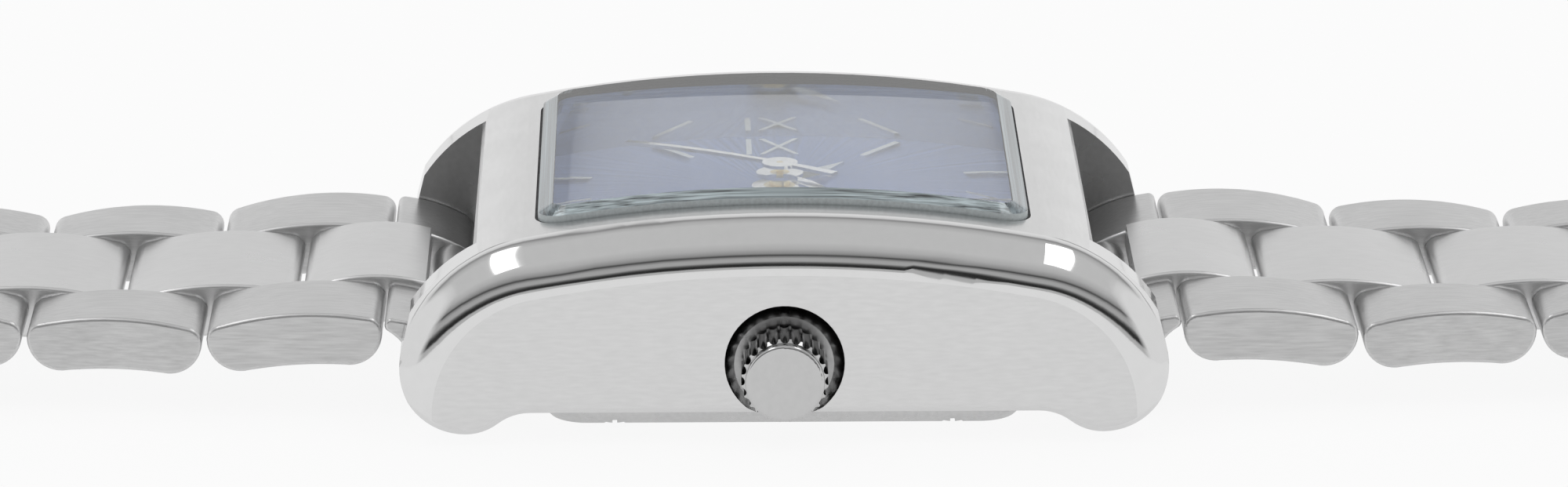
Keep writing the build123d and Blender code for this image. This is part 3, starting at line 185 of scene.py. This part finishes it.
back_steel = steel("back_steel", 0.66, 0.28, 0.05, (4.0, 4.0, 4.0), 0.0010, 0.04)
blade_steel = steel("blade_steel", 0.70, 0.22, 0.04, (5.0, 0.5, 5.0), 0.0012, 0.04)
crown_steel = steel("crown_steel", 0.60, 0.12, 0.03, (3.0, 3.0, 3.0), 0.0003, 0.02)
hand_steel = steel("hand_steel", 0.84, 0.08, 0.02, (4.0, 4.0, 4.0), 0.0003, 0.02)
flange_steel = steel(
    "flange_steel", 0.66, 0.05, 0.02, (3.0, 3.0, 3.0), 0.0002, 0.02, tint=(0.88, 0.94, 1.0)
)
bridge_steel = steel("bridge_steel", 0.62, 0.3, 0.05, (5.0, 0.8, 5.0), 0.0015, 0.05)
cell_steel = steel("cell_steel", 0.74, 0.25, 0.05, (4.0, 4.0, 4.0), 0.0010, 0.03)
plate_brass = steel(
    "plate_brass", 0.72, 0.3, 0.05, (4.0, 1.0, 4.0), 0.0012, 0.05, tint=(1.0, 0.82, 0.48)
)
wheel_brass = steel(
    "wheel_brass", 0.80, 0.22, 0.05, (5.0, 5.0, 5.0), 0.0008, 0.05, tint=(1.0, 0.82, 0.45)
)
coil_copper = steel(
    "coil_copper", 0.70, 0.3, 0.05, (14.0, 0.5, 0.5), 0.006, 0.15, tint=(1.0, 0.52, 0.3)
)

rubber = plain("gasket_rubber", (0.02, 0.02, 0.022), 0.6)
holder = plain("holder_plastic", (0.09, 0.09, 0.1), 0.5)
wheel_plastic = plain("wheel_plastic", (0.72, 0.7, 0.64), 0.4)
board = plain("board_resin", (0.03, 0.16, 0.09), 0.35, coat=0.3)
rotor_dark = plain("rotor_magnet", (0.1, 0.1, 0.11), 0.35, metallic=0.8)

dial_blue = sunray_dial()
glass = mineral_glass()
ground_edge = plain(
    "ground_glass_edge", (0.62, 0.67, 0.68), 0.35, grain=0.1, stretch=(6.0, 6.0, 6.0)
)
# The crystal's bevel: opaque grey with strong streaks, a painted reflection in place of what
# the glass would show, and a darker painted reflection on the bevels facing the ends
bevel_painted_reflection = plain(
    "bevel_painted_reflection", (0.36, 0.42, 0.44), 0.12, grain=0.9, stretch=(7.0, 0.05, 7.0), coat=0.6
)
end_bevel_painted_reflection = plain(
    "end_bevel_painted_reflection", (0.20, 0.24, 0.26), 0.12, grain=0.7, stretch=(0.05, 7.0, 7.0), coat=0.6
)

finish_of = {
    "case_body": case_side,
    "caseback": back_steel,
    "caseback_screws": back_steel,
    "spring_bars": pin_steel,
    "crystal": glass,
    "crystal_gasket": rubber,
    "caseback_gasket": rubber,
    "crown_gasket": rubber,
    "dial_flange": flange_steel,
    "dial": dial_blue,
    "hour_markers": hand_steel,
    "hour_hand": hand_steel,
    "minute_hand": hand_steel,
    "second_hand": hand_steel,
    "movement_holder": holder,
    "main_plate": plate_brass,
    "train_bridge": bridge_steel,
    "circuit_board": board,
    "coil": coil_copper,
    "stator": bridge_steel,
    "rotor": rotor_dark,
    "intermediate_wheel": wheel_plastic,
    "seconds_wheel": wheel_brass,
    "third_wheel": wheel_brass,
    "center_wheel": wheel_brass,
    "minute_wheel": wheel_brass,
    "hour_wheel": wheel_brass,
    "battery": cell_steel,
    "battery_clamp": cell_steel,
    "stem": pin_steel,
    "crown": crown_steel,
    "crown_tube": pin_steel,
    "clasp_pins": pin_steel,
    "middle_blade": blade_steel,
    "end_blade": blade_steel,
}
# The outer links, end links and clasp cover are brushed like each other
for name, obj in nodes.items():
    obj.data.materials.clear()
    if name.startswith("center_link"):
        obj.data.materials.append(centre_satin)
    else:
        obj.data.materials.append(finish_of.get(name, link_brushed))

# The case by place: satin sides and top, recesses darkened with painted shade, and polished
# shoulders between.
# Its sides lie at X of 14 mm to either side.
SIDE_X = 13.9995
TOP_X, TOP_Y = 11.75, 14.2
LUG_GAP_X = 10.1
POCKET_X = (11, 13.5)
SIDE_SLOT, POLISHED_SLOT, TOP_SLOT, SHADED_RECESS_SLOT = range(4)
body = nodes["case_body"]
for finish in (polished, case_top, shaded_recess_steel):
    body.data.materials.append(finish)
for face in body.data.polygons:
    n = face.normal
    c = face.center / MM
    on_side = min(abs(body.data.vertices[v].co.x) for v in face.vertices) > SIDE_X * MM
    in_lug_gap = abs(c.y) > TOP_Y and abs(c.x) < LUG_GAP_X
    in_pocket = POCKET_X[0] < c.x < POCKET_X[1] and n.x > 0.9
    if on_side and abs(n.x) > 0.9999:
        face.material_index = SIDE_SLOT
    elif n.z > 0.5 and abs(n.x) < 0.02 and abs(c.x) < TOP_X and abs(c.y) < TOP_Y:
        face.material_index = TOP_SLOT
    # The lug gaps and the crown pocket take the darker steel as painted shade
    elif in_lug_gap or in_pocket:
        face.material_index = SHADED_RECESS_SLOT
    else:
        face.material_index = POLISHED_SLOT

# The crystal: upright walls ground, and between them and the top a bevel whose opaque
# streaked colour is painted reflection, darker on the bevels facing the ends
WALL_SLOT, BEVEL_SLOT, END_BEVEL_SLOT = 1, 2, 3
crystal = nodes["crystal"]
for finish in (ground_edge, bevel_painted_reflection, end_bevel_painted_reflection):
    crystal.data.materials.append(finish)
for face in crystal.data.polygons:
    n = face.normal
    if abs(n.z) < 0.05:
        face.material_index = WALL_SLOT
    elif 0.5 < n.z < 0.965:
        face.material_index = END_BEVEL_SLOT if abs(n.y) > abs(n.x) else BEVEL_SLOT

# Darker steel with deeper lines on the flanks of the outer links and end links
FLANK_SLOT = 1
for name, obj in nodes.items():
    if name.startswith(("outer_links", "end_link")):
        obj.data.materials.append(link_side)
        for face in obj.data.polygons:
            if abs(face.normal.x) > 0.98:
                face.material_index = FLANK_SLOT

# The case's large flat sides keep their own direction beside the rounded edges
weigh = body.modifiers.new("flat_sides", "WEIGHTED_NORMAL")
weigh.mode = "FACE_AREA"
weigh.weight = 100


def any_ray(tree, kinds):
    """1 for a ray of any of the kinds, else 0."""
    path = tree.nodes.new("ShaderNodeLightPath")
    total = path.outputs[kinds[0]]
    for kind in kinds[1:]:
        total = combine(tree, "MAXIMUM", total, path.outputs[kind])
    return total


# Floor, nearly white to the camera and through glass, less so in metal. Where it isn't white
# it is diffuse, so the object's soft shadow shows.
FLOOR_SIZE = 4.0
FLOOR_Z = -0.0001
DIRECT_GLOW, GLOSSY_GLOW = 0.9, 0.6
bpy.ops.mesh.primitive_plane_add(size=FLOOR_SIZE, location=(0, 0, FLOOR_Z))
floor = bpy.context.object
floor.name = "floor"
mat, tree, out = new_material("floor_white")
diffuse = tree.nodes.new("ShaderNodeBsdfDiffuse")
diffuse.inputs["Color"].default_value = (0.9, 0.9, 0.9, 1.0)
glow = tree.nodes.new("ShaderNodeEmission")
glow.inputs["Color"].default_value = (1.0, 1.0, 1.0, 1.0)
glow.inputs["Strength"].default_value = 1.0
shares = []
for kinds, strength in ((DIRECT_RAYS, DIRECT_GLOW), (("Is Glossy Ray",), GLOSSY_GLOW)):
    seen = tree.nodes.new("ShaderNodeMath")
    seen.operation = "MULTIPLY"
    seen.inputs[1].default_value = strength
    tree.links.new(any_ray(tree, kinds), seen.inputs[0])
    shares.append(seen.outputs["Value"])
blend = tree.nodes.new("ShaderNodeMixShader")
tree.links.new(combine(tree, "MAXIMUM", *shares), blend.inputs["Fac"])
tree.links.new(diffuse.outputs["BSDF"], blend.inputs[1])
tree.links.new(glow.outputs["Emission"], blend.inputs[2])
tree.links.new(blend.outputs["Shader"], out.inputs["Surface"])
floor.data.materials.append(mat)

# World, white to the camera and through glass, else a soft grey tent with bright ends
world = bpy.data.worlds.new("tent")
scene.world = world
world.use_nodes = True
tree = world.node_tree
tree.nodes.clear()
out = tree.nodes.new("ShaderNodeOutputWorld")
tent = tree.nodes.new("ShaderNodeBackground")
tent.inputs["Strength"].default_value = 1.0
white = tree.nodes.new("ShaderNodeBackground")
white.inputs["Color"].default_value = (1.0, 1.0, 1.0, 1.0)
white.inputs["Strength"].default_value = 1.0
direction = split_coordinate(tree, "Generated")
arch = combine(tree, "ARCTAN2", direction["Z"], direction["X"])
ramp = tree.nodes.new("ShaderNodeValToRGB")
tree.links.new(spread(tree, arch, 0.0, math.pi, 0.0, 1.0), ramp.inputs["Fac"])
# Degrees over the object, from the 3 o'clock horizon (0) to the 9 o'clock horizon (180),
# and the tent's brightness there
stops = [
    (0, 0.50),
    (4.2, 0.50),
    (5.6, 0.02),
    (10, 0.03),
    (13, 0.12),
    (17, 0.44),
    (23, 0.42),
    (27, 0.25),
    (30, 0.04),
    (34, 0.30),
    (45, 0.50),
    (60, 0.61),
    (115, 0.61),
    (130, 0.50),
    (140, 0.28),
    (146, 0.70),
    (155, 0.86),
    (159.4, 0.84),
    (161.2, 0.30),
    (162.3, 0.30),
    (163.6, 0.90),
    (180, 0.84),
]
while len(ramp.color_ramp.elements) < len(stops):
    ramp.color_ramp.elements.new(0.5)
for element, (degree, value) in zip(ramp.color_ramp.elements, stops):
    element.position = degree / 180
    element.color = (value, value, value, 1.0)
# The tent's ends, where the direction's share along Y passes from the first to the second
ENDS_FROM, ENDS_TO = 0.74, 0.84
ENDS_GREY = 0.82
ends = tree.nodes.new("ShaderNodeMix")
ends.data_type = "RGBA"
ends.inputs["B"].default_value = (ENDS_GREY, ENDS_GREY, ENDS_GREY, 1.0)
sideways = combine(tree, "ABSOLUTE", direction["Y"])
tree.links.new(spread(tree, sideways, ENDS_FROM, ENDS_TO, 0.0, 1.0), ends.inputs["Factor"])
tree.links.new(ramp.outputs["Color"], ends.inputs["A"])
tree.links.new(ends.outputs["Result"], tent.inputs["Color"])
mix = tree.nodes.new("ShaderNodeMixShader")
tree.links.new(any_ray(tree, DIRECT_RAYS), mix.inputs["Fac"])
tree.links.new(tent.outputs["Background"], mix.inputs[1])
tree.links.new(white.outputs["Background"], mix.inputs[2])
tree.links.new(mix.outputs["Shader"], out.inputs["Surface"])

# Two long lights over the case's shoulders, about 25 degrees to either side of straight up
LIGHT_X, LIGHT_Y, LIGHT_Z = -0.065, 0.325, 0.681
LIGHT_WIDTH, LIGHT_LENGTH = 0.87, 0.158
LIGHT_POWER = 0.58
for name, side in (("left_light", -1), ("right_light", 1)):
    lamp = bpy.data.lights.new(name, "AREA")
    lamp.shape = "RECTANGLE"
    lamp.size = LIGHT_WIDTH
    lamp.size_y = LIGHT_LENGTH
    lamp.energy = LIGHT_POWER
    light = bpy.data.objects.new(name, lamp)
    scene.collection.objects.link(light)
    place = Vector((LIGHT_X, side * LIGHT_Y, LIGHT_Z))
    aim = Vector((LIGHT_X, 0, 0)) - place
    light.location = place
    light.rotation_euler = aim.to_track_quat("-Z", "Y").to_euler()

# Camera: seen from 3 o'clock, 17 degrees above the dial's plane
elevation = math.radians(17.2)
yaw = math.radians(0.9)
distance = 0.352
target = Vector((0.0, 0.000187, 0.00521))
across = math.cos(elevation)
camera = bpy.data.objects.new("camera", bpy.data.cameras.new("camera"))
scene.collection.objects.link(camera)
camera.location = target + distance * Vector(
    (across * math.cos(yaw), -across * math.sin(yaw), math.sin(elevation))
)
camera.rotation_euler = (target - camera.location).to_track_quat("-Z", "Y").to_euler()
camera.data.sensor_fit = "HORIZONTAL"
camera.data.sensor_width = 36.0
camera.data.lens = 170.3
camera.data.clip_start = 0.01
camera.data.clip_end = 20.0
scene.camera = camera
scene.view_settings.view_transform = "Standard"
